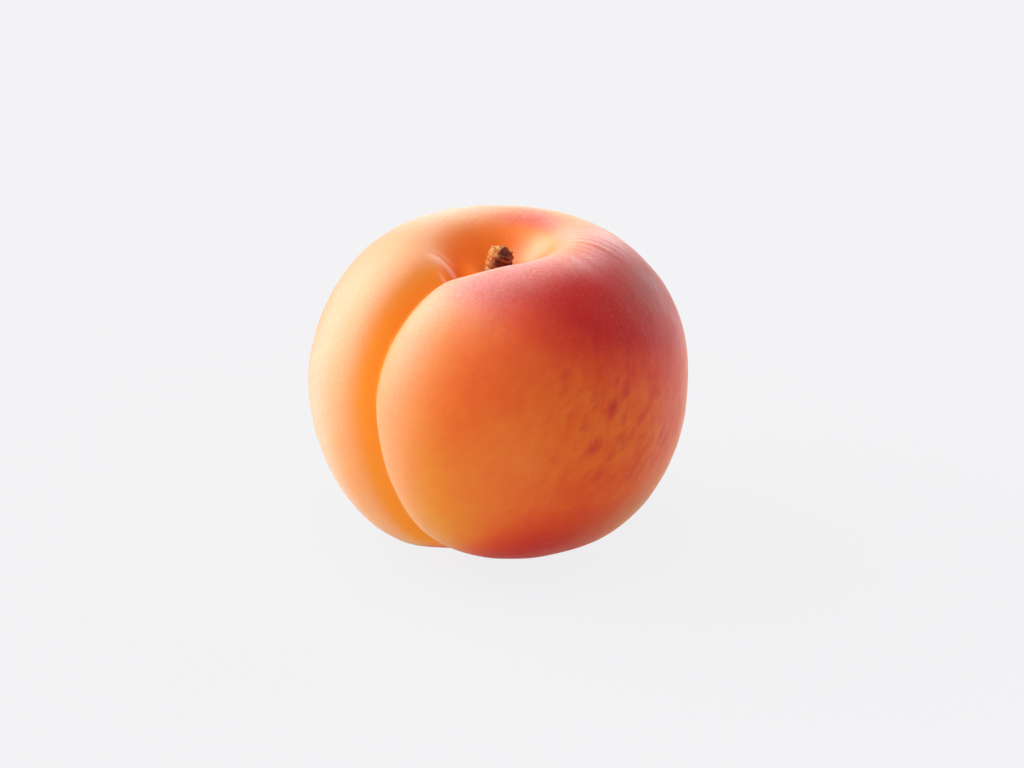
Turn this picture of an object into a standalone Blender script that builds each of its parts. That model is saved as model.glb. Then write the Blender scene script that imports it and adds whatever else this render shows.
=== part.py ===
"""Ripe apricot, picked, with the short woody stub of its stem.

Metres, +Z up.  The origin is the centre of the small flat spot the fruit rests
on, straight below the stem.  -Y is the front of the fruit; the suture (the
crease between the two lobes) runs up the front left.

Two pieces:
  fruit      skin and flesh, one solid, with the stem cavity and the suture
  stem_stub  the broken stem, let into a small socket at the cavity's floor
"""
import math

import bmesh
import bpy

MM = 0.001

# ---------------------------------------------------------------- dimensions
# body of revolution, before the suture is pressed in (millimetres)
HALF_WIDTH = 24.00          # equator radius along X
HALF_DEPTH = 23.60          # equator radius along Y
EQUATOR_Z = 21.64           # height of the widest level
CROWN_RISE = 20.90          # from the widest level to the untouched crown
CROWN_POWER = 2.22          # roundness of the upper half (2 = ellipse)
BASE_POWER = 2.44           # roundness of the lower half
BASE_DROP = 0.50            # how far the round base would reach below the floor
FOOT_RADIUS = 5.00          # the flat resting spot
FOOT_SOFTNESS = 0.25        # how softly the flat spot blends into the round base

# stem cavity
CAVITY_DEPTH = 7.60
CAVITY_RADIUS = 6.71
CAVITY_POWER = 2.15

# suture: a valley with a steep near flank and a gentler far flank
SUTURE_AZIMUTH = -44.7      # degrees at the widest level, 0 = front, + = right
SUTURE_TWIST = -8.7         # degrees of drift per body height
SUTURE_BOW = 1.6            # degrees, bow of the suture line
SUTURE_DEPTH = 2.38
SUTURE_DEPTH_TOP = 1.64     # depth there, as a multiple of SUTURE_DEPTH
SUTURE_DEPTH_LOW = 0.79
SUTURE_ROUND = 0.35         # roundness of the valley's bottom
NEAR_WIDTH = 1.57
NEAR_WIDTH_TOP = 1.75
NEAR_WIDTH_LOW = 1.59
FAR_WIDTH = 1.76
FAR_WIDTH_TOP = 0.95
FAR_WIDTH_LOW = 0.41
SWALE_DEPTH = 0.72          # wide shallow hollow along the suture
SWALE_NEAR = 6.13
SWALE_FAR = 3.73
SUTURE_END_FADE = (6.5, 14.7)     # radii between which it fades on the base
SUTURE_CAVITY_FADE = (2.4, 5.0)   # radii between which it fades in the cavity
SUTURE_BACK_FADE = 5.0            # it fades out towards the far side of the axis

# broad swellings and flats: (height in mm, azimuth, spread, level, level spread)
SWELLS = (
    (-0.45, -81.4, 38.0, -0.46, 0.35),
    (-0.40, 86.9, 38.0, -0.55, 0.35),
    (-0.86, -77.7, 38.0, 0.51, 0.35),
)
SHOULDER_SWELL = 1.39       # near lobe's fullness beside the suture
SHOULDER_OFFSET = 50.0      # degrees from the suture
SHOULDER_SPREAD = 35.0

# stem socket and stem stub
GAP = 0.30                  # clearance between the stem and its socket
STEM_BASE_RADIUS = 1.85
STEM_SEAT_DEPTH = 1.40      # how deep the stem is let into the flesh
STEM_TOP_Z = 39.40
STEM_LEAN = (0.055, -0.01)  # sideways drift per unit of height, X and Y
STEM_RINGS = 3              # growth rings round the stub

# mesh density
AROUND = 84
CROWDING = 0.62             # how strongly the columns gather at the suture
RINGS_BASE = 15
RINGS_CROWN = 14
RINGS_CAVITY = 13
STEM_AROUND = 26


# ---------------------------------------------------------------- small maths
def smooth(x, a, b):
    t = min(max((x - a) / (b - a), 0.0), 1.0)
    return t * t * (3.0 - 2.0 * t)


def wrap(angle):
    return (angle + math.pi) % (2.0 * math.pi) - math.pi


def soft_floor(z, h):
    if z > h:
        return z
    if z < -h:
        return 0.0
    return (z + h) ** 2 / (4.0 * h)


def profile(u, cavity=1.0):
    """Half section of the body. u = 0 base pole, 1 widest level, 2 cavity floor."""
    low = u < 1.0
    s = (1.0 - u if low else u - 1.0) * math.pi / 2.0
    power = BASE_POWER if low else CROWN_POWER
    c = abs(math.cos(s)) ** (2.0 / power)
    h = abs(math.sin(s)) ** (2.0 / power)
    r = HALF_WIDTH * c
    if low:
        return r, EQUATOR_Z - (EQUATOR_Z + BASE_DROP) * h
    dip = CAVITY_DEPTH * cavity * math.exp(-(r / CAVITY_RADIUS) ** CAVITY_POWER)
    return r, EQUATOR_Z + CROWN_RISE * h - dip


def press_direction(u):
    """Outward normal of the body with its cavity almost filled in."""
    step = 1e-4
    r1, z1 = profile(max(u - step, 0.0), 0.25)
    r2, z2 = profile(min(u + step, 2.0), 0.25)
    tr, tz = r2 - r1, z2 - z1
    length = math.hypot(tr, tz) + 1e-12
    return tz / length, -tr / length


def surface(u, azimuth):
    """A point of the finished skin, in millimetres."""
    r, z = profile(u)
    nr, nz = press_direction(u)
    level = (z - EQUATOR_Z) / EQUATOR_Z
    line = math.radians(SUTURE_AZIMUTH + SUTURE_TWIST * level + SUTURE_BOW * level * level)
    turn = wrap(azimuth - line)
    along, across = r * math.cos(turn), r * math.sin(turn)

    fade = smooth(r, *SUTURE_END_FADE) if u < 1.0 else smooth(r, *SUTURE_CAVITY_FADE)
    fade *= smooth(along, 0.0, SUTURE_BACK_FADE)
    top = smooth(u, 1.0, 1.7) if u >= 1.0 else 0.0
    low = smooth(1.0 - u, 0.0, 0.6) if u < 1.0 else 0.0

    near = across > 0.0
    if near:
        stretch = 1.0 + (NEAR_WIDTH_TOP - 1.0) * top + (NEAR_WIDTH_LOW - 1.0) * low
        width, swale = NEAR_WIDTH * stretch, SWALE_NEAR * stretch
    else:
        stretch = 1.0 + (FAR_WIDTH_TOP - 1.0) * top + (FAR_WIDTH_LOW - 1.0) * low
        width, swale = FAR_WIDTH * stretch, SWALE_FAR * stretch
    depth = SUTURE_DEPTH * (1.0 + (SUTURE_DEPTH_TOP - 1.0) * top + (SUTURE_DEPTH_LOW - 1.0) * low)
    x = abs(across) / width
    valley = depth * math.exp(SUTURE_ROUND - math.sqrt(x * x + SUTURE_ROUND ** 2))
    hollow = SWALE_DEPTH * math.exp(-0.5 * (across / swale) ** 2)
    push = -(valley + hollow) * fade

    push += (SHOULDER_SWELL
             * math.exp(-((turn - math.radians(SHOULDER_OFFSET)) / math.radians(SHOULDER_SPREAD)) ** 2)
             * math.exp(-((level - 0.2) / 0.5) ** 2))
    for height, where, spread, at, tall in SWELLS:
        push += (height
                 * math.exp(-(wrap(azimuth - math.radians(where)) / math.radians(spread)) ** 2)
                 * math.exp(-((level - at) / tall) ** 2) * smooth(r, 3.0, 9.0))

    r += push * nr
    z = soft_floor(z + push * nz, FOOT_SOFTNESS)
    return r * math.sin(azimuth), -r * math.cos(azimuth) * HALF_DEPTH / HALF_WIDTH, z


def level_at_radius(radius, power, upper):
    """The profile parameter at which the body has this radius."""
    s = math.acos((radius / HALF_WIDTH) ** (power / 2.0)) / (math.pi / 2.0)
    return 1.0 + s if upper else 1.0 - s


# ---------------------------------------------------------------- mesh helpers
def ring_solid(name, rings, colour, roughness):
    """A closed solid from a stack of rings, with a flat face on each end."""
    bm = bmesh.new()
    loops = [[bm.verts.new([c * MM for c in point]) for point in ring] for ring in rings]
    for lower, upper in zip(loops, loops[1:]):
        count = len(lower)
        for k in range(count):
            m = (k + 1) % count
            bm.faces.new((lower[k], lower[m], upper[m], upper[k]))
    bm.faces.new(list(reversed(loops[0])))
    bm.faces.new(loops[-1])
    bmesh.ops.recalc_face_normals(bm, faces=bm.faces)
    mesh = bpy.data.meshes.new(name)
    bm.to_mesh(mesh)
    bm.free()
    mesh.shade_smooth()
    mesh.set_sharp_from_angle(angle=math.radians(50.0))

    material = bpy.data.materials.new(name + "_finish")
    material.use_nodes = True
    shader = material.node_tree.nodes["Principled BSDF"]
    shader.inputs["Base Color"].default_value = (*colour, 1.0)
    shader.inputs["Roughness"].default_value = roughness
    shader.inputs["Metallic"].default_value = 0.0
    mesh.materials.append(material)

    piece = bpy.data.objects.new(name, mesh)
    bpy.context.scene.collection.objects.link(piece)
    return piece


# ---------------------------------------------------------------- the pieces
def build_fruit():
    line = math.radians(SUTURE_AZIMUTH)
    columns = []
    for k in range(AROUND):
        even = 2.0 * math.pi * k / AROUND
        columns.append(line + even - CROWDING * math.sin(even))

    socket_radius = STEM_BASE_RADIUS + GAP
    foot = level_at_radius(FOOT_RADIUS, BASE_POWER, False)
    rim = level_at_radius(10.5, CROWN_POWER, True)
    mouth = level_at_radius(socket_radius, CROWN_POWER, True)

    levels = [foot + (1.0 - foot) * k / RINGS_BASE for k in range(RINGS_BASE)]
    levels += [1.0 + (rim - 1.0) * k / RINGS_CROWN for k in range(RINGS_CROWN)]
    levels += [rim + (mouth - rim) * k / RINGS_CAVITY for k in range(RINGS_CAVITY + 1)]
    rings = [[surface(u, a) for a in columns] for u in levels]

    # the socket: a plain round hole in the cavity's floor
    mouth_z = sum(p[2] for p in rings[-1]) / AROUND
    floor_z = mouth_z - STEM_SEAT_DEPTH - GAP
    squash = HALF_DEPTH / HALF_WIDTH
    for z in (mouth_z - 0.5 * STEM_SEAT_DEPTH, floor_z):
        rings.append([(socket_radius * math.sin(a), -socket_radius * math.cos(a) * squash, z)
                      for a in columns])
    return ring_solid("fruit", rings, (0.80, 0.28, 0.06), 0.55), mouth_z


def build_stem(mouth_z):
    base_z = mouth_z - STEM_SEAT_DEPTH
    height = STEM_TOP_Z - base_z
    rings = []
    steps = 20
    for k in range(steps + 1):
        t = k / steps
        # more rings near the rounded, broken top
        t = 1.0 - (1.0 - t) ** 1.35
        z = base_z + height * t
        taper = STEM_BASE_RADIUS * (1.0 - 0.30 * t)
        above = max(z - mouth_z, 0.0)
        ridge = 0.07 * math.sin(2.0 * math.pi * STEM_RINGS * t) * smooth(above, 0.2, 1.2)
        crown = math.sqrt(max(1.0 - max((t - 0.74) / 0.275, 0.0) ** 2, 0.0))
        ring = []
        for m in range(STEM_AROUND):
            a = 2.0 * math.pi * m / STEM_AROUND
            lobes = 1.0 + (0.05 * math.sin(3.0 * a + 0.6) + 0.035 * math.sin(5.0 * a - 1.1)) * smooth(above, 0.0, 1.5)
            r = (taper + ridge) * crown * (lobes if above > 0.0 else 1.0)
            # the break slopes down to the right
            tilt = -0.22 * r * math.sin(a) * smooth(t, 0.75, 1.0)
            ring.append((r * math.sin(a) + STEM_LEAN[0] * above,
                         -r * math.cos(a) + STEM_LEAN[1] * above,
                         z + tilt))
        rings.append(ring)
    return ring_solid("stem_stub", rings, (0.25, 0.10, 0.04), 0.8)


def main():
    for item in list(bpy.data.objects):
        bpy.data.objects.remove(item, do_unlink=True)
    fruit, mouth_z = build_fruit()
    stem = build_stem(mouth_z)
    # the stem is carried by the fruit
    stem.parent = fruit


main()
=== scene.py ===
"""The looks of a ripe apricot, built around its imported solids.

The frame is the CAD model's: metres, +Z up, origin at the middle of the flat
resting spot, -Y the front.  The skin is one fine mesh of the same shape as the
CAD fruit, the stem stub is a detailed mesh of its own.
"""

import math

import bmesh
import bpy
import numpy as np
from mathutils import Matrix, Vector


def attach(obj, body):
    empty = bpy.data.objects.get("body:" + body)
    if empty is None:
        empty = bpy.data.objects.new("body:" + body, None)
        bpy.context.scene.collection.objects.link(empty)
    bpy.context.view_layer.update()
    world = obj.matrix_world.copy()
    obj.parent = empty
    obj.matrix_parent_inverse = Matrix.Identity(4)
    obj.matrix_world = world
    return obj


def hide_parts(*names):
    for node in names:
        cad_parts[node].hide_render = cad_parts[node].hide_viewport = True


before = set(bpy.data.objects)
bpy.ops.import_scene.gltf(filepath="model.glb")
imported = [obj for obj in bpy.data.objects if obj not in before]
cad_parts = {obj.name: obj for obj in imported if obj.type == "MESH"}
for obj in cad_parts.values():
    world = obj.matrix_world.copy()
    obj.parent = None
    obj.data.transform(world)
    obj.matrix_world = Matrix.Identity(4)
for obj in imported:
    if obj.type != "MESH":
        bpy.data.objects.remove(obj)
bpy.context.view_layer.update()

MM = 0.001
SCENE = bpy.context.scene

# ------------------------------------------------------------------ shape
# The same driving dimensions as the CAD fruit, in millimetres and degrees.
HALF_WIDTH, HALF_DEPTH = 24.00, 23.60
EQUATOR_Z, CROWN_RISE = 21.64, 20.90
CROWN_POWER, BASE_POWER = 2.22, 2.44
BASE_DROP, FOOT_RADIUS, FOOT_SOFTNESS = 0.50, 5.00, 0.25
CAVITY_DEPTH, CAVITY_RADIUS, CAVITY_POWER = 7.60, 6.71, 2.15
SUTURE_AZIMUTH, SUTURE_TWIST, SUTURE_BOW = -44.4, -8.4, 1.6
SUTURE_DEPTH, SUTURE_DEPTH_TOP, SUTURE_DEPTH_LOW = 2.38, 1.64, 0.79
SUTURE_ROUND = 0.35
NEAR_WIDTH, NEAR_WIDTH_TOP, NEAR_WIDTH_LOW = 1.57, 1.75, 1.59
FAR_WIDTH, FAR_WIDTH_TOP, FAR_WIDTH_LOW = 1.76, 0.95, 0.41
SWALE_DEPTH, SWALE_NEAR, SWALE_FAR = 0.72, 6.13, 3.73
SUTURE_END_FADE, SUTURE_CAVITY_FADE, SUTURE_BACK_FADE = (6.5, 14.7), (2.4, 5.0), 5.0
SWELLS = ((-0.45, -81.4, 38.0, -0.46, 0.35),
          (-0.40, 86.9, 38.0, -0.55, 0.35),
          (-0.86, -77.7, 38.0, 0.51, 0.35))
LIP = ((0.44, 7.0, 15.0, 7.5, 3.0),       # height, azimuth, spread, radius, width
       (-0.22, -28.0, 12.0, 9.0, 3.5))
SHOULDER_SWELL, SHOULDER_OFFSET, SHOULDER_SPREAD = 1.39, 50.0, 35.0
STEM_RADIUS, STEM_TOP = 1.85, 39.40


def smooth(x, a, b):
    t = np.clip((x - a) / (b - a), 0.0, 1.0)
    return t * t * (3.0 - 2.0 * t)


def wrap(angle):
    return (angle + np.pi) % (2.0 * np.pi) - np.pi


def profile(u, cavity=1.0):
    low = u < 1.0
    s = np.where(low, 1.0 - u, u - 1.0) * np.pi / 2.0
    power = np.where(low, BASE_POWER, CROWN_POWER)
    c = np.abs(np.cos(s)) ** (2.0 / power)
    h = np.abs(np.sin(s)) ** (2.0 / power)
    r = HALF_WIDTH * c
    dip = CAVITY_DEPTH * cavity * np.exp(-(r / CAVITY_RADIUS) ** CAVITY_POWER)
    z = np.where(low, EQUATOR_Z - (EQUATOR_Z + BASE_DROP) * h, EQUATOR_Z + CROWN_RISE * h - dip)
    return r, z


def soft_floor(z, h):
    return np.where(z > h, z, np.where(z < -h, 0.0, (z + h) ** 2 / (4.0 * h)))


def wobble(x, y, z, seed, size):
    """A smooth, gentle unevenness: a few crossed waves of about this size, in mm."""
    rng = np.random.default_rng(seed)
    total = np.zeros_like(x)
    for _ in range(9):
        d = rng.normal(size=3)
        d /= np.linalg.norm(d)
        k = 2.0 * np.pi / (size * rng.uniform(0.75, 1.5))
        total += np.sin(k * (d[0] * x + d[1] * y + d[2] * z) + rng.uniform(0.0, 6.283))
    return total / 9.0 ** 0.5


# fine folds where the suture runs down into the cavity: the points each one passes
# through (x, y in mm), its half width and how proud it stands
FOLDS = ((((-9.6, -3.3), (-8.4, -2.8), (-7.2, -2.1), (-6.2, -1.9), (-5.2, -1.8), (-4.3, -1.7)), 0.55, 0.20),
         (((-8.0, -4.8), (-7.0, -4.7), (-6.0, -4.5), (-5.2, -4.0)), 0.38, 0.16),
         (((-8.9, -1.4), (-7.4, -0.7), (-6.0, -0.5), (-4.9, -0.7)), 0.35, 0.06))


def fold_at(x, y, line, half_width):
    """How much of a fold lies at x, y: 1 on its crest, tapering to its two ends."""
    best = np.full_like(x, 1e9)
    along = np.zeros_like(x)
    for k, ((x0, y0), (x1, y1)) in enumerate(zip(line[:-1], line[1:])):
        dx, dy = x1 - x0, y1 - y0
        t = np.clip(((x - x0) * dx + (y - y0) * dy) / (dx * dx + dy * dy), 0.0, 1.0)
        gap = np.hypot(x - x0 - t * dx, y - y0 - t * dy)
        along = np.where(gap < best, (k + t) / (len(line) - 1), along)
        best = np.minimum(best, gap)
    return np.exp(-(best / half_width) ** 2) * smooth(along, 0.0, 0.35) * (1.0 - smooth(along, 0.75, 1.0))


def surface(u, azimuth):
    """Points of the skin in mm, and the fields that its colours follow."""
    r, z = profile(u)
    step = 1e-4
    r1, z1 = profile(np.maximum(u - step, 0.0), 0.25)
    r2, z2 = profile(np.minimum(u + step, 2.0), 0.25)
    tr, tz = r2 - r1, z2 - z1
    length = np.hypot(tr, tz) + 1e-12
    nr, nz = tz / length, -tr / length
    level = (z - EQUATOR_Z) / EQUATOR_Z
    line = np.radians(SUTURE_AZIMUTH + SUTURE_TWIST * level + SUTURE_BOW * level * level)
    turn = wrap(azimuth - line)
    along, across = r * np.cos(turn), r * np.sin(turn)

    fade = np.where(u < 1.0, smooth(r, *SUTURE_END_FADE), smooth(r, *SUTURE_CAVITY_FADE))
    fade = fade * smooth(along, 0.0, SUTURE_BACK_FADE)
    top = np.where(u >= 1.0, smooth(u, 1.0, 1.7), 0.0)
    low = np.where(u < 1.0, smooth(1.0 - u, 0.0, 0.6), 0.0)
    near = across > 0.0
    near_stretch = 1.0 + (NEAR_WIDTH_TOP - 1.0) * top + (NEAR_WIDTH_LOW - 1.0) * low
    far_stretch = 1.0 + (FAR_WIDTH_TOP - 1.0) * top + (FAR_WIDTH_LOW - 1.0) * low
    width = np.where(near, NEAR_WIDTH * near_stretch, FAR_WIDTH * far_stretch)
    swale = np.where(near, SWALE_NEAR * near_stretch, SWALE_FAR * far_stretch)
    depth = SUTURE_DEPTH * (1.0 + (SUTURE_DEPTH_TOP - 1.0) * top + (SUTURE_DEPTH_LOW - 1.0) * low)
    x = np.abs(across) / width
    valley = depth * np.exp(SUTURE_ROUND - np.sqrt(x * x + SUTURE_ROUND ** 2))
    hollow = SWALE_DEPTH * np.exp(-0.5 * (across / swale) ** 2)
    push = -(valley + hollow) * fade
    push += (SHOULDER_SWELL
             * np.exp(-((turn - math.radians(SHOULDER_OFFSET)) / math.radians(SHOULDER_SPREAD)) ** 2)
             * np.exp(-((level - 0.2) / 0.5) ** 2))
    for height, where, spread, at, tall in SWELLS:
        push += (height * np.exp(-(wrap(azimuth - math.radians(where)) / math.radians(spread)) ** 2)
                 * np.exp(-((level - at) / tall) ** 2) * smooth(r, 3.0, 9.0))

    # the skin is never quite even
    sx, sy = r * np.sin(azimuth), -r * np.cos(azimuth)
    calm = smooth(r, 3.5, 9.0) * smooth(z, 0.5, 4.0)
    push += calm * (0.050 * wobble(sx, sy, z, 3, 11.0) + 0.022 * wobble(sx, sy, z, 5, 4.5)
                    + 0.008 * wobble(sx, sy, z, 8, 2.0))

    fold = np.zeros_like(r)
    for line, half_width, proud in FOLDS:
        here = np.where(u > 1.0, fold_at(sx, sy, line, half_width), 0.0)
        push += proud * here
        fold = np.maximum(fold, here * proud / 0.20)

    # the near lip of the cavity climbs to the right
    lift = np.zeros_like(r)
    for height, where, spread, at, wide in LIP:
        lift += height * np.exp(-(np.degrees(wrap(azimuth - math.radians(where))) / spread) ** 2
                                - ((r - at) / wide) ** 2)
    lift = np.where(u > 1.0, lift, 0.0)

    r2 = r + push * nr
    z2 = soft_floor(z + push * nz + lift, FOOT_SOFTNESS)
    points = np.stack([r2 * np.sin(azimuth), -r2 * np.cos(azimuth) * HALF_DEPTH / HALF_WIDTH, z2], -1)
    # the deep colour lies a little to the far side of the valley's floor
    beside = np.abs(across + 0.45) / width
    groove = np.clip(np.exp(SUTURE_ROUND - np.sqrt(beside * beside + SUTURE_ROUND ** 2)) * fade, 0.0, 1.0)
    pit = np.where(u > 1.0, 1.0 - smooth(r, 3.0, 12.0), 0.0)
    return points, groove, pit, across, level, fold


def bearing(points):
    """Azimuth and elevation, in degrees, of points seen from the middle of the body."""
    x, y, z = points[..., 0], points[..., 1], points[..., 2] - 20.5
    return np.degrees(np.arctan2(x, -y)), np.degrees(np.arctan2(z, np.hypot(x, y)))


def patch(az, el, at, size, power=2.0):
    """A soft-edged patch on the skin: 1 in its middle, fading out over size, in degrees."""
    turn = (az - at[0] + 180.0) % 360.0 - 180.0
    turn = turn * np.cos(np.radians(np.clip(el, -80.0, 80.0))) ** 0.6
    return np.exp(-((turn / size[0]) ** 2 + ((el - at[1]) / size[1]) ** 2) ** (power / 2.0))


def ripeness(points):
    """How deep the orange is: pale on the left, ripe to the right."""
    az, el = bearing(points)
    turn = (az - 65.0 + 180.0) % 360.0 - 180.0
    return smooth(np.cos(np.radians(turn)), -0.25, 0.24)


# the sun blush, patch by patch: amount, (azimuth, elevation), (width, height)
BLUSH = ((0.72, (47.0, 45.0), (31.0, 17.0)),        # its heart, on the near shoulder
         (0.90, (82.0, 38.0), (23.0, 19.0)),        # carried round to the right
         (0.40, (66.0, 8.0), (21.0, 32.0)),        # down the right cheek
         (0.45, (-14.0, 20.0), (21.0, 36.0)),       # fading out to the left
         (0.60, (25.0, -20.0), (38.0, 25.0)),
         (0.40, (-42.0, -60.0), (20.0, 10.0)),      # where the suture ends below       # low front
         (0.62, (150.0, 68.0), (23.0, 7.0)),       # a flush on the far rim
         (0.36, (0.0, 55.0), (26.0, 9.0)),
         (0.20, (26.0, 65.0), (14.0, 6.0)),         # the pink of the near lip
         (0.30, (-25.0, 72.0), (32.0, 12.0)),       # and on the lip by the suture
         (0.50, (114.0, 0.0), (44.0, 50.0)),        # thinning away to the right and back
         (0.30, (-160.0, 5.0), (30.0, 30.0)))


def sun_blush(points):
    """Where the skin is reddened: the sun blush on one cheek, and a redder, darker underside."""
    az, el = bearing(points)
    red = np.maximum(0.45 * patch(az, el, (27.0, 25.0), (30.0, 29.0), 2.6),
                     1.00 * patch(az, el, (15.0, -62.0), (34.0, 33.0), 3.4))
    for amount, at, size in BLUSH:
        red += amount * patch(az, el, at, size)
    return np.clip(red, 0.0, 1.15)


# the down and painted sheen, where they whiten the skin most: amount, (azimuth, elevation), (width, height)
DOWN_AND_PAINTED_SHEEN_PATCHES = ((1.50, (72.0, 72.0), (40.0, 6.0)),
                 (0.42, (34.0, 65.0), (12.0, 4.5)),
                 (0.62, (49.0, 60.0), (14.0, 5.0)),
                 (0.48, (61.0, 56.0), (11.0, 5.0)),
                 (0.95, (92.0, 61.0), (14.0, 8.0)),
                 (1.05, (101.0, 53.0), (12.0, 6.0)),
                 (0.75, (-68.0, -42.0), (20.0, 16.0)),
                 (0.92, (2.0, 62.0), (22.0, 9.0)),
                 (1.42, (-76.0, -8.0), (18.0, 60.0)),
                 (0.60, (-112.0, 34.0), (26.0, 14.0)),
                 (0.28, (122.0, 60.0), (14.0, 8.0)),
                 (0.40, (-36.0, -10.0), (9.0, 36.0)),
                 (0.28, (-32.0, -38.0), (14.0, 12.0)),
                 (0.45, (-13.0, 50.0), (14.0, 9.0)),
                 (0.86, (-35.0, 46.0), (12.0, 25.0)),
                 (0.95, (172.0, 58.0), (34.0, 14.0)),
                 (1.15, (-138.0, 58.0), (22.0, 14.0)))


def down_and_painted_sheen_of(points):
    """Where the skin is whitened: the down, with painted sheen and painted rim highlights, round the shoulder, the
    lips and the edges.
    """
    az, el = bearing(points)
    down_and_painted_sheen_total = 0.18 * np.exp(-((el - 50.0) / 12.0) ** 2) * (1.0 - 0.9 * patch(az, el, (35.0, 40.0), (50.0, 24.0), 2.6))
    for amount, at, size in DOWN_AND_PAINTED_SHEEN_PATCHES:
        down_and_painted_sheen_total += amount * patch(az, el, at, size)
    return np.clip(down_and_painted_sheen_total, 0.0, 2.5)


# the larger freckles: azimuth, elevation, half length and half width in mm, strength
FRECKLES = ((35.2, 13.4, 1.30, 0.78, 1.00), (28.2, 3.2, 1.25, 0.72, 0.90), (38.4, 20.3, 0.75, 0.48, 0.55),
            (41.0, 16.2, 0.75, 0.45, 0.60), (21.0, 25.0, 0.80, 0.50, 0.45), (25.6, 9.8, 0.70, 0.45, 0.40),
            (52.8, 12.0, 0.70, 0.42, 0.45), (60.6, 14.0, 0.70, 0.45, 0.45), (38.1, 3.1, 0.65, 0.45, 0.45),
            (46.5, 7.5, 0.60, 0.40, 0.35), (55.5, 3.0, 0.65, 0.42, 0.40), (44.0, 22.5, 0.70, 0.45, 0.40),
            (31.5, 18.5, 0.60, 0.40, 0.30), (57.0, 21.0, 0.60, 0.42, 0.35), (48.0, -4.0, 0.70, 0.45, 0.35))


def large_freckles(points):
    """The larger freckles, each a short dash that leans down to the left."""
    az, el = bearing(points)
    total = np.zeros_like(az)
    for at_az, at_el, long, wide, strength in FRECKLES:
        turn = (az - at_az + 180.0) % 360.0 - 180.0
        e = np.radians(turn) * 24.4 * math.cos(math.radians(at_el))
        h = np.radians(el - at_el) * 24.4
        a, b = (0.5 * e + 0.866 * h) / long, (-0.866 * e + 0.5 * h) / wide
        total = np.maximum(total, strength * np.exp(-(a * a + b * b) ** 1.2))
    return total


def freckled(points):
    """Where the skin is freckled and mottled: the middle of the sunny cheek."""
    az, el = bearing(points)
    return np.clip(1.1 * patch(az, el, (44.0, 8.0), (30.0, 24.0), 2.6)
                   + 0.5 * patch(az, el, (120.0, 10.0), (45.0, 30.0))
                   + 0.4 * patch(az, el, (-150.0, -5.0), (60.0, 35.0)), 0.0, 1.0)


def level_at_radius(radius, power, upper):
    s = math.acos((radius / HALF_WIDTH) ** (power / 2.0)) / (math.pi / 2.0)
    return 1.0 + s if upper else 1.0 - s


# ------------------------------------------------------------------ meshes
def grid_object(name, points, fields, ends=(True, True)):
    """A tube of rings closed at its ends, with its fields as point attributes."""
    rings, around = points.shape[:2]
    index = np.arange(rings * around).reshape(rings, around)
    a, b = index[:-1], index[1:]
    quads = np.stack([a, np.roll(a, -1, 1), np.roll(b, -1, 1), b], -1).reshape(-1, 4)
    verts = points.reshape(-1, 3)
    faces = quads.tolist()
    extra = []
    for first, ring in ((True, index[0]), (False, index[-1])):
        centre = verts[ring].mean(0)
        extra.append(centre)
        hub = len(verts) + len(extra) - 1
        nxt = np.roll(ring, -1)
        for p, q in zip(ring.tolist(), nxt.tolist()):
            faces.append((hub, q, p) if first else (hub, p, q))
    verts = np.concatenate([verts, np.array(extra)], 0)
    mesh = bpy.data.meshes.new(name)
    mesh.from_pydata((verts * MM).tolist(), [], faces)
    mesh.update()
    for key, values in fields.items():
        flat = values.reshape(rings * around, -1)
        flat = np.concatenate([flat, flat[index[0]].mean(0, keepdims=True),
                               flat[index[-1]].mean(0, keepdims=True)], 0)
        kind = "FLOAT" if flat.shape[1] == 1 else "FLOAT_VECTOR"
        layer = mesh.attributes.new(key, kind, "POINT")
        layer.data.foreach_set("value" if kind == "FLOAT" else "vector",
                               flat.astype(np.float32).ravel())
    bm = bmesh.new()
    bm.from_mesh(mesh)
    bmesh.ops.recalc_face_normals(bm, faces=bm.faces)
    bm.to_mesh(mesh)
    bm.free()
    mesh.shade_smooth()
    piece = bpy.data.objects.new(name, mesh)
    SCENE.collection.objects.link(piece)
    return piece


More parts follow.
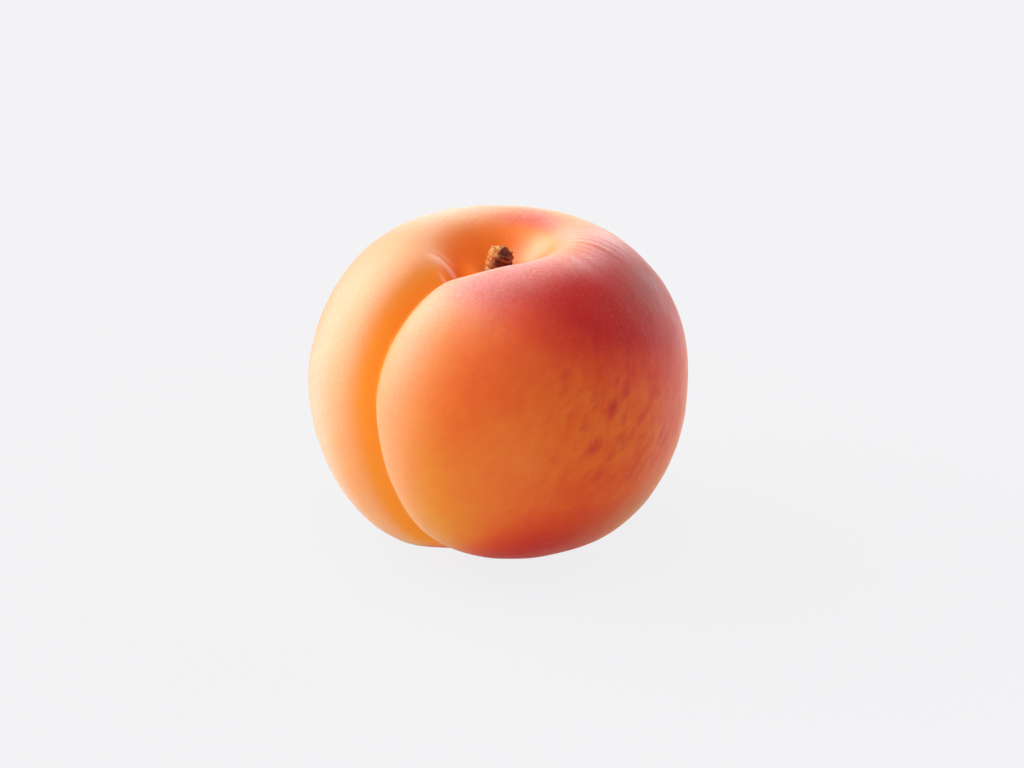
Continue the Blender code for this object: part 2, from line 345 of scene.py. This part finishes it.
def build_skin():
    around = 320
    line = math.radians(SUTURE_AZIMUTH)
    even = 2.0 * np.pi * np.arange(around) / around
    columns = line + even - 0.60 * np.sin(even)

    socket = STEM_RADIUS + 0.10
    foot = level_at_radius(FOOT_RADIUS, BASE_POWER, False)
    rim = level_at_radius(10.5, CROWN_POWER, True)
    mouth = level_at_radius(socket, CROWN_POWER, True)
    inner = np.array([level_at_radius(r, BASE_POWER, False) for r in (0.8, 2.0, 3.0, 4.0)])
    levels = np.concatenate([
        inner,
        foot + (1.0 - foot) * np.linspace(0.0, 1.0, 110, endpoint=False),
        1.0 + (rim - 1.0) * np.linspace(0.0, 1.0, 90, endpoint=False),
        rim + (mouth - rim) * np.linspace(0.0, 1.0, 84)])
    u, a = np.meshgrid(levels, columns, indexing="ij")
    points, groove, pit, across, level, fold = surface(u, a)

    # the skin turns down into the stem's socket
    tail = []
    last = points[-1]
    ring_dir = np.stack([np.sin(columns), -np.cos(columns) * HALF_DEPTH / HALF_WIDTH], -1)
    for k in range(1, 5):
        t = k / 4.0
        ring = last.copy()
        ring[:, :2] = ring_dir * (socket - 0.06 * math.sin(t * 1.5))
        ring[:, 2] = last[:, 2] - 1.3 * t ** 1.6
        tail.append(ring)
    count = len(tail)
    points = np.concatenate([points, np.array(tail)], 0)
    grow = lambda f: np.concatenate([f, np.repeat(f[-1:], count, 0)], 0)
    groove, pit, across, level, fold, a, u = map(grow, (groove, pit, across, level, fold, a, u))

    # length along the meridian, for streaks that run from stem to blossom end
    run = np.concatenate([[0.0], np.cumsum(np.linalg.norm(np.diff(points.mean(1) * 0 + np.stack(
        [np.hypot(points[..., 0], points[..., 1]).mean(1), np.zeros(len(points)), points[..., 2].mean(1)], -1),
        axis=0), axis=1))])
    run = np.repeat(run[:, None], around, 1)
    twist = a - 0.50 * (run - run.mean()) / 24.0
    streak = np.stack([24.0 * np.sin(twist), -24.0 * np.cos(twist), run * 0.72], -1)
    # the lie of the down: long strokes that run out over the rim from the stem
    lie = a - 0.18 * (run - run.mean()) / 24.0
    hair = np.stack([30.0 * np.sin(lie), -30.0 * np.cos(lie), run * 0.16], -1)
    fields = {"groove": groove[..., None], "pit": pit[..., None], "across": across[..., None],
              "ripe": ripeness(points)[..., None], "blush": sun_blush(points)[..., None],
              # the down, with painted sheen and painted rim highlights
              "down_and_painted_sheen": down_and_painted_sheen_of(points)[..., None],
              "freckled": freckled(points)[..., None], "freckle": large_freckles(points)[..., None], "fold": fold[..., None],
              # painted light on the right wall of the cavity
              "painted_light_cavity_wall": np.maximum(0.95 * patch(*bearing(points), (110.0, 74.0), (15.0, 7.5)),
                                  0.80 * patch(*bearing(points), (114.0, 79.0), (9.0, 4.0)))[..., None],
              # painted shade high on the right
              "painted_shade_high_right": patch(*bearing(points), (80.0, 39.0), (22.0, 12.0))[..., None],
              # painted shade low on the right
              "painted_shade_low_right": patch(*bearing(points), (52.0, -32.0), (26.0, 13.0))[..., None],
              "lash": np.clip(0.06 + patch(*bearing(points), (82.0, 56.0), (22.0, 12.0)), 0.0, 1.0)[..., None],
              "streak": streak, "hair": hair}
    return grid_object("apricot_skin", points, fields)


def build_stem():
    """The broken stub: a leaning woody peg, ridged and fibrous, with a hollow in its ragged top."""
    around, rings = 144, 130
    a = 2.0 * np.pi * np.arange(around) / around
    base, top = 34.55, STEM_TOP - 0.35
    t = np.linspace(0.0, 1.0, rings)
    t = 1.0 - (1.0 - t) ** 1.35
    A, T = np.meshgrid(a, t, indexing="xy")
    Z = base + (top - base) * T
    above = np.clip(Z - 35.9, 0.0, None)
    cos_a, sin_a = np.cos(A), np.sin(A)
    body = STEM_RADIUS * (1.0 - 0.26 * smooth(T, 0.10, 1.05)) + 0.10 * np.exp(-above / 0.5)
    crown = np.sqrt(np.clip(1.0 - np.clip((T - 0.80) / 0.205, 0.0, None) ** 2.0, 0.0, 1.0))
    lobes = 1.0 + (0.06 * np.sin(2 * A + 2.3) + 0.05 * np.sin(3 * A + 0.6)
                   + 0.03 * np.sin(5 * A - 1.1)) * smooth(above, 0.0, 1.2)
    R = body * crown * lobes
    x, y = R * sin_a, -R * cos_a
    # crossed, broken ridges that climb round to the left, and long fibres
    slant = Z + 0.34 * x + 0.10 * y
    waver = 0.20 * wobble(cos_a * 3.0, sin_a * 3.0, Z * 0.4, 24, 3.0)
    broken = 0.55 + 0.65 * np.clip(wobble(cos_a * 2.5, sin_a * 2.5, Z * 0.9, 25, 3.0), -0.8, 1.0)
    ridge = np.zeros_like(Z)
    for at, tall, proud in ((36.60, 0.22, 0.13), (37.30, 0.15, 0.10), (37.85, 0.22, 0.20), (38.55, 0.17, 0.12)):
        line = slant + waver - at
        ridge += proud * broken * np.exp(-(line / tall) ** 2)
        ridge -= 0.7 * proud * broken * np.exp(-((line + 1.7 * tall) / tall) ** 2)
    # a knob on the right side
    ridge += 0.20 * np.exp(-((wrap(A - math.radians(70.0))) / 0.75) ** 2 - ((Z - 37.75) / 0.42) ** 2)
    fibre = 0.040 * wobble(cos_a * 7.0, sin_a * 7.0, Z * 0.35, 21, 2.4)
    rough = 0.045 * wobble(x * 3, y * 3, Z * 3, 22, 2.6) + 0.025 * wobble(x * 3, y * 3, Z * 3, 23, 1.2)
    grow = (ridge + fibre + rough) * smooth(above, 0.0, 0.8)
    flat = np.hypot(x, y) + 1e-6
    x, y = x + grow * x / flat * crown, y + grow * y / flat * crown
    # the ragged break: splinters, and a hollow towards the front and right
    on_top = smooth(T, 0.76, 0.93)
    hollow = np.exp(-((x - 0.12) / 0.66) ** 2 - ((y + 0.82) / 0.50) ** 2)
    z = Z + on_top * (0.13 * wobble(x * 2, y * 2, Z * 0, 31, 2.0) + 0.07 * wobble(x * 5, y * 5, Z * 0, 32, 2.2)
                      - 0.16 * x - 0.62 * hollow)
    x = x + 0.15 * above
    points = np.stack([x, y, z], -1)
    # painted light: the stub's left side and the top of its rim are made lighter where the light falls
    lit = np.clip(smooth(-sin_a + 0.10 * cos_a, 0.35, 0.95) + on_top * (1.0 - hollow) * np.maximum(smooth(-sin_a, -0.1, 0.5), 0.7 * smooth(-cos_a, -0.2, 0.6)), 0.0, 1.0)
    # painted shade in the hollow of the top and low down where the stub enters its socket
    dark = np.clip(0.8 * on_top * smooth(hollow, 0.25, 0.75) + 0.8 * np.exp(-above / 0.35), 0.0, 1.0)
    fields = {"pale": lit[..., None], "dark": dark[..., None], "proud": np.clip(ridge / 0.2, 0.0, 1.0)[..., None],
              "fibre": np.stack([cos_a, sin_a, Z * 0.12], -1)}
    return grid_object("stem_stub_detail", points, fields)


# ------------------------------------------------------------------ node help
class Nodes:
    """Short hand for building a material's node tree."""

    def __init__(self, name):
        self.material = bpy.data.materials.new(name)
        self.material.use_nodes = True
        self.tree = self.material.node_tree
        self.tree.nodes.clear()

    def node(self, kind, **settings):
        n = self.tree.nodes.new(kind)
        for key, value in settings.items():
            setattr(n, key, value)
        return n

    def link(self, a, b):
        self.tree.links.new(a, b)

    def plug(self, socket, value):
        if isinstance(value, bpy.types.NodeSocket):
            self.link(value, socket)
        else:
            socket.default_value = value

    def attribute(self, name, vector=False):
        n = self.node("ShaderNodeAttribute", attribute_name=name)
        return n.outputs["Vector" if vector else "Fac"]

    def math(self, op, a, b=None, c=None, clamp=False):
        n = self.node("ShaderNodeMath", operation=op, use_clamp=clamp)
        self.plug(n.inputs[0], a)
        if b is not None:
            self.plug(n.inputs[1], b)
        if c is not None:
            self.plug(n.inputs[2], c)
        return n.outputs[0]

    def vmath(self, op, a, b=None):
        n = self.node("ShaderNodeVectorMath", operation=op)
        self.plug(n.inputs[0], a)
        if b is not None:
            self.plug(n.inputs[1], b)
        return n.outputs["Value" if op in ("DOT_PRODUCT", "LENGTH") else "Vector"]

    def ramp(self, value, low, high, to_low=0.0, to_high=1.0):
        n = self.node("ShaderNodeMapRange", interpolation_type="SMOOTHSTEP", clamp=True)
        self.plug(n.inputs["Value"], value)
        n.inputs["From Min"].default_value = low
        n.inputs["From Max"].default_value = high
        n.inputs["To Min"].default_value = to_low
        n.inputs["To Max"].default_value = to_high
        return n.outputs["Result"]

    def mix(self, factor, a, b, kind="MIX"):
        n = self.node("ShaderNodeMix", data_type="RGBA", blend_type=kind)
        self.plug(n.inputs["Factor"], factor)
        for socket, value in ((n.inputs[6], a), (n.inputs[7], b)):
            if isinstance(value, (tuple, list)):
                value = (*value, 1.0)
            self.plug(socket, value)
        return n.outputs[2]

    def noise(self, vector, scale, detail=2.0, rough=0.5, distortion=0.0):
        n = self.node("ShaderNodeTexNoise", noise_dimensions="3D")
        self.plug(n.inputs["Vector"], vector)
        n.inputs["Scale"].default_value = scale
        n.inputs["Detail"].default_value = detail
        n.inputs["Roughness"].default_value = rough
        n.inputs["Distortion"].default_value = distortion
        return n.outputs["Fac"]

    def cells(self, vector, scale, feature="F1", randomness=1.0, output="Distance"):
        n = self.node("ShaderNodeTexVoronoi", feature=feature)
        self.plug(n.inputs["Vector"], vector)
        n.inputs["Scale"].default_value = scale
        n.inputs["Randomness"].default_value = randomness
        return n.outputs[output]

    def millimetres(self):
        coord = self.node("ShaderNodeTexCoord")
        n = self.node("ShaderNodeVectorMath", operation="SCALE")
        self.link(coord.outputs["Object"], n.inputs[0])
        n.inputs["Scale"].default_value = 1000.0
        return n.outputs[0]

    def bump(self, height, strength, distance, normal=None):
        n = self.node("ShaderNodeBump")
        n.inputs["Strength"].default_value = strength
        n.inputs["Distance"].default_value = distance
        self.plug(n.inputs["Height"], height)
        if normal is not None:
            self.link(normal, n.inputs["Normal"])
        return n.outputs["Normal"]

    def finish(self, colour, roughness, normal, **sockets):
        shader = self.node("ShaderNodeBsdfPrincipled")
        self.plug(shader.inputs["Base Color"], colour)
        self.plug(shader.inputs["Roughness"], roughness)
        if normal is not None:
            self.link(normal, shader.inputs["Normal"])
        for key, value in sockets.items():
            shader.inputs[key.replace("_", " ")].default_value = value
        out = self.node("ShaderNodeOutputMaterial")
        self.link(shader.outputs[0], out.inputs["Surface"])
        return self.material


# ------------------------------------------------------------------ finishes
PALE_ORANGE = (0.86, 0.311, 0.100)
RIPE_ORANGE = (0.83, 0.378, 0.040)
GROOVE_ORANGE = (0.89, 0.305, 0.026)
PIT_ORANGE = (0.84, 0.160, 0.003)
LIGHT_BLUSH = (0.73, 0.085, 0.019)
DEEP_BLUSH = (0.50, 0.009, 0.008)
# the whitening colours of the down, also used for its painted sheen and painted rim highlights
DOWN_AND_PAINTED_SHEEN_WARM, DOWN_AND_PAINTED_SHEEN_COOL = (0.96, 0.83, 0.70), (0.96, 0.77, 0.78)
# a cream colour for painted light on the cavity's right wall
PAINTED_LIGHT_CREAM = (0.94, 0.52, 0.29)
FRECKLE_RED = (0.53, 0.026, 0.028)
# the even down, the scale of the down's whitening with its painted sheen and rim highlights, and the specular level
DOWN, DOWN_AND_PAINTED_SHEEN_SCALE, SHINE = 0.004, 0.30, 0.12


def skin_finish():
    n = Nodes("apricot_skin_finish")
    p = n.millimetres()
    groove, pit, fold = n.attribute("groove"), n.attribute("pit"), n.attribute("fold")
    ripe, red, freckled_here = n.attribute("ripe"), n.attribute("blush"), n.attribute("freckled")
    streak, hair = n.attribute("streak", vector=True), n.attribute("hair", vector=True)

    def shifted(value, noise, amount):
        return n.math("ADD", value, n.math("MULTIPLY", n.math("SUBTRACT", noise, 0.5), amount))

    drift = n.noise(p, 0.075, 2.0, 0.5)          # broad, over the whole fruit
    cloud = n.noise(p, 0.22, 3.0, 0.55)          # patches of a few mm
    mottle = n.noise(streak, 0.60, 2.5, 0.55)    # short strokes of colour
    grain = n.noise(p, 2.6, 3.0, 0.65)           # fine speckle
    strokes = n.noise(hair, 0.60, 3.0, 0.60)      # the lie of the down

    # ground colour, from pale to ripe orange
    ripe = shifted(shifted(ripe, drift, 0.12), cloud, 0.06)
    ground = n.mix(n.ramp(ripe, 0.0, 1.0), PALE_ORANGE, RIPE_ORANGE)
    ground = n.mix(n.ramp(groove, 0.15, 0.85), ground, GROOVE_ORANGE)
    ground = n.mix(n.ramp(pit, 0.25, 0.9), ground, PIT_ORANGE)
    # painted light: a cream patch on the right wall of the cavity
    ground = n.mix(n.math("MULTIPLY", n.attribute("painted_light_cavity_wall"), 0.85), ground, PAINTED_LIGHT_CREAM)

    # sun blush, breaking up into strokes at its edge and over the freckled cheek
    open_skin = n.math("MULTIPLY", n.math("SUBTRACT", 1.0, n.ramp(pit, 0.35, 0.9)),
                       n.ramp(groove, 0.15, 0.70, 1.0, 0.2))
    red = shifted(shifted(red, cloud, 0.07), mottle, 0.10)
    patchy = n.math("MULTIPLY", freckled_here, n.math("SUBTRACT", mottle, 0.5))
    red = n.math("ADD", red, n.math("MULTIPLY", patchy, 0.16))
    red = n.math("MULTIPLY", red, open_skin)
    colour = n.mix(n.ramp(red, 0.02, 0.75), ground, LIGHT_BLUSH)
    colour = n.mix(n.ramp(red, 0.50, 1.05), colour, DEEP_BLUSH)

    # painted shade: a darker, browner place high on the right
    colour = n.mix(n.math("MULTIPLY", n.attribute("painted_shade_high_right"), 0.70), colour, (0.20, 0.016, 0.006))

    # and painted shade, darker and browner, low on the right
    colour = n.mix(n.math("MULTIPLY", n.attribute("painted_shade_low_right"), 0.48), colour, (0.38, 0.09, 0.020))

    # freckles: short dark dashes, a few large and many small
    stir = n.node("ShaderNodeTexNoise", noise_dimensions="3D")
    n.link(p, stir.inputs["Vector"])
    stir.inputs["Scale"].default_value = 0.9
    shake = n.vmath("MULTIPLY", n.vmath("SUBTRACT", stir.outputs["Color"], (0.5, 0.5, 0.5)), (0.9, 0.9, 0.9))
    at = n.vmath("ADD", streak, shake)
    spot = n.math("MULTIPLY", n.attribute("freckle"), n.ramp(n.noise(p, 1.6, 2.0, 0.6), 0.30, 0.55, 0.55, 1.0))
    colour = n.mix(n.math("MULTIPLY", spot, 0.90), colour, FRECKLE_RED)
    for scale, reach, strength in ((0.46, 0.95, 0.34), (0.80, 1.05, 0.24)):
        near = n.cells(at, scale)
        pick = n.vmath("DOT_PRODUCT", n.cells(at, scale, output="Color"), (1.0, 0.0, 0.0))
        size = n.math("ADD", near, n.math("MULTIPLY", pick, 0.55))
        dash = n.math("MULTIPLY", n.ramp(size, reach * 0.62, reach * 0.30), n.ramp(freckled_here, 0.15, 0.75))
        colour = n.mix(n.math("MULTIPLY", dash, strength), colour, FRECKLE_RED)

    # fine speckle, and a painted highlight along the crests of the folds
    colour = n.mix(n.math("MULTIPLY", n.ramp(grain, 0.50, 0.80), 0.07), colour, (0.95, 0.40, 0.12))
    colour = n.mix(n.math("MULTIPLY", fold, 0.62), colour, (0.96, 0.62, 0.48))

    # down and painted sheen: the fine hairs whiten the skin, and painted sheen and painted rim highlights whiten it
    # more in places
    bare = n.math("MULTIPLY", n.ramp(pit, 0.15, 0.70, 1.0, 0.05), n.ramp(groove, 0.10, 0.60, 1.0, 0.05))
    down_and_painted_sheen_here = n.math("MULTIPLY", n.math("MULTIPLY", n.attribute("down_and_painted_sheen"), DOWN_AND_PAINTED_SHEEN_SCALE), bare)
    combed = n.math("MULTIPLY", n.math("SUBTRACT", n.ramp(strokes, 0.25, 0.75), 0.5), n.attribute("lash"))
    down_and_painted_sheen_here = n.math("MULTIPLY", down_and_painted_sheen_here, n.math("ADD", 1.0, combed))
    down_and_painted_sheen_amount = n.math("MULTIPLY", n.math("ADD", DOWN, down_and_painted_sheen_here), n.ramp(grain, 0.2, 0.8, 0.75, 1.25))
    colour = n.mix(n.math("MINIMUM", down_and_painted_sheen_amount, 0.75), colour, n.mix(n.ramp(ripe, 0.0, 1.0), DOWN_AND_PAINTED_SHEEN_WARM, DOWN_AND_PAINTED_SHEEN_COOL))

    rough = n.math("ADD", 0.44, n.math("MULTIPLY", cloud, 0.12))
    fuzz = n.noise(p, 5.5, 3.0, 0.65)
    pores = n.noise(p, 1.6, 2.0, 0.5)
    normal = n.bump(fuzz, 0.35, 0.00010)
    normal = n.bump(pores, 0.30, 0.00012, normal)
    normal = n.bump(strokes, 0.12, 0.00012, normal)
    material = n.finish(colour, rough, normal,
                        Subsurface_Weight=0.45, Subsurface_Scale=0.0018,
                        Sheen_Weight=0.42, Sheen_Roughness=0.30,
                        Specular_IOR_Level=SHINE)
    shader = material.node_tree.nodes["Principled BSDF"]
    shader.inputs["Subsurface Radius"].default_value = (1.0, 0.38, 0.14)
    shader.inputs["Sheen Tint"].default_value = (1.0, 0.92, 0.88, 1.0)
    return material


def stem_finish():
    n = Nodes("stem_wood_finish")
    p = n.millimetres()
    pale, dark, proud = n.attribute("pale"), n.attribute("dark"), n.attribute("proud")
    fibre = n.attribute("fibre", vector=True)
    lines = n.noise(fibre, 7.0, 4.0, 0.65)
    blotch = n.noise(p, 1.3, 3.0, 0.6)
    grit = n.noise(p, 7.0, 3.0, 0.7)
    colour = n.mix(n.ramp(lines, 0.35, 0.65), (0.060, 0.008, 0.004), (0.19, 0.026, 0.007))
    colour = n.mix(n.math("MULTIPLY", proud, 0.60), colour, (0.38, 0.078, 0.018))
    # painted light: a lit tan colour for the stub's left side and top rim
    tan = n.mix(n.ramp(blotch, 0.42, 0.62), (0.66, 0.22, 0.050), (0.86, 0.46, 0.17))
    tan = n.mix(n.ramp(lines, 0.56, 0.40, 0.0, 0.55), tan, (0.40, 0.095, 0.020))
    colour = n.mix(n.math("MULTIPLY", pale, n.ramp(grit, 0.20, 0.55, 0.75, 1.0)), colour, tan)
    # painted shade in the hollow and at the foot
    colour = n.mix(n.math("MULTIPLY", dark, 0.85), colour, (0.075, 0.009, 0.005))
    rough = n.math("ADD", 0.62, n.math("MULTIPLY", grit, 0.25))
    normal = n.bump(grit, 0.5, 0.00010)
    normal = n.bump(lines, 0.6, 0.00015, normal)
    return n.finish(colour, rough, normal, Specular_IOR_Level=0.3)


# ------------------------------------------------------------------ pieces
skin = build_skin()
skin.data.materials.append(skin_finish())
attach(skin, "root")
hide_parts("fruit")

stem = build_stem()
stem.data.materials.append(stem_finish())
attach(stem, "root")
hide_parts("stem_stub")


# ------------------------------------------------------------------ stage
BACKDROP = (0.896, 0.896, 0.913)
AMBIENT = 0.15
# each softbox: azimuth (0 in front, + to the right), elevation, tightness, strength
SOFTBOXES = ((-105.0, 30.0, 8.0, 6.40),
             (134.0, 4.0, 8.0, 3.70),
             (-4.0, -38.0, 8.0, 3.20),
             (25.0, 72.0, 8.0, 1.64))


LOW_FILL = (1.0, 0.94, 0.72)    # the fill from below the horizon is a little warm
FLOOR_LIGHT = 1.370     # how brightly the softboxes light a white floor
SHADOW_SHARE = 0.07     # how much of the floor's brightness a full shadow takes away


def build_floor():
    bm = bmesh.new()
    bmesh.ops.create_circle(bm, cap_ends=True, cap_tris=True, segments=128, radius=2.5)
    mesh = bpy.data.meshes.new("floor")
    bm.to_mesh(mesh)
    bm.free()
    floor = bpy.data.objects.new("floor", mesh)
    SCENE.collection.objects.link(floor)
    floor.location = (0.0, 0.0, -0.00005)
    n = Nodes("pale_floor")
    coord = n.node("ShaderNodeTexCoord")
    out_from = n.vmath("LENGTH", coord.outputs["Object"])
    fade = n.ramp(out_from, 0.45, 1.6)
    diffuse = n.node("ShaderNodeBsdfDiffuse")
    diffuse.inputs["Color"].default_value = tuple(c * SHADOW_SHARE / FLOOR_LIGHT for c in BACKDROP) + (1.0,)
    glow = n.node("ShaderNodeEmission")
    glow.inputs["Color"].default_value = (*BACKDROP, 1.0)
    glow.inputs["Strength"].default_value = 1.0 - SHADOW_SHARE
    both = n.node("ShaderNodeAddShader")
    n.link(diffuse.outputs[0], both.inputs[0])
    n.link(glow.outputs[0], both.inputs[1])
    clear = n.node("ShaderNodeBsdfTransparent")
    mix = n.node("ShaderNodeMixShader")
    n.link(fade, mix.inputs[0])
    n.link(both.outputs[0], mix.inputs[1])
    n.link(clear.outputs[0], mix.inputs[2])
    out = n.node("ShaderNodeOutputMaterial")
    n.link(mix.outputs[0], out.inputs["Surface"])
    mesh.materials.append(n.material)
    return floor


def build_light():
    """A soft studio: an even surround with broad, feathered softboxes in it."""
    world = bpy.data.worlds.new("studio")
    world.use_nodes = True
    nodes, links = world.node_tree.nodes, world.node_tree.links
    nodes.clear()

    def maths(op, a, b):
        n = nodes.new("ShaderNodeMath")
        n.operation = op
        for socket, value in zip(n.inputs, (a, b)):
            if isinstance(value, bpy.types.NodeSocket):
                links.new(value, socket)
            else:
                socket.default_value = value
        return n.outputs[0]

    coord = nodes.new("ShaderNodeTexCoord")
    total, warm = AMBIENT, 0.0
    for azimuth, elevation, tight, strength in SOFTBOXES:
        az, el = math.radians(azimuth), math.radians(elevation)
        dot = nodes.new("ShaderNodeVectorMath")
        dot.operation = "DOT_PRODUCT"
        links.new(coord.outputs["Generated"], dot.inputs[0])
        dot.inputs[1].default_value = (math.sin(az) * math.cos(el), -math.cos(az) * math.cos(el), math.sin(el))
        lobe = maths("EXPONENT", maths("MULTIPLY", maths("SUBTRACT", dot.outputs["Value"], 1.0), tight), 0.0)
        if elevation < -20.0:
            warm = maths("ADD", warm, maths("MULTIPLY", lobe, strength))
        else:
            total = maths("ADD", total, maths("MULTIPLY", lobe, strength))
    lit = nodes.new("ShaderNodeBackground")
    lit.inputs["Color"].default_value = (1.0, 1.0, 1.0, 1.0)
    links.new(total, lit.inputs["Strength"])
    fill = nodes.new("ShaderNodeBackground")
    fill.inputs["Color"].default_value = (*LOW_FILL, 1.0)
    links.new(warm, fill.inputs["Strength"])
    both = nodes.new("ShaderNodeAddShader")
    links.new(lit.outputs[0], both.inputs[0])
    links.new(fill.outputs[0], both.inputs[1])
    seen = nodes.new("ShaderNodeBackground")
    seen.inputs["Color"].default_value = (*BACKDROP, 1.0)
    path = nodes.new("ShaderNodeLightPath")
    mix = nodes.new("ShaderNodeMixShader")
    out = nodes.new("ShaderNodeOutputWorld")
    links.new(path.outputs["Is Camera Ray"], mix.inputs[0])
    links.new(both.outputs[0], mix.inputs[1])
    links.new(seen.outputs[0], mix.inputs[2])
    links.new(mix.outputs[0], out.inputs["Surface"])
    world.cycles.sampling_method = "MANUAL"
    world.cycles.sample_map_resolution = 512
    SCENE.world = world


def build_camera():
    data = bpy.data.cameras.new("camera")
    camera = bpy.data.objects.new("camera", data)
    SCENE.collection.objects.link(camera)
    elevation, distance = math.radians(24.0), 0.400
    aim = Vector((0.0, 0.0, 0.0209))
    camera.location = aim + distance * Vector((0.0, -math.cos(elevation), math.sin(elevation)))
    camera.rotation_euler = (math.pi / 2.0 - elevation, 0.0, 0.0)
    data.sensor_width = 36.0
    pixels_per_mm = 380.0 / 48.0
    data.lens = pixels_per_mm * 400.0 * 36.0 / 1024.0
    data.shift_x = (512.0 - 497.85) / 1024.0
    data.shift_y = (381.0 - 384.0) / 1024.0
    data.clip_start, data.clip_end = 0.01, 20.0
    SCENE.camera = camera


floor = build_floor()
floor.visible_diffuse = floor.visible_glossy = floor.visible_shadow = False
floor.visible_transmission = floor.visible_volume_scatter = False
build_light()
build_camera()
SCENE.view_settings.view_transform = "Standard"
SCENE.view_settings.look = "None"
SCENE.view_settings.exposure = 0.0
SCENE.view_settings.gamma = 1.0
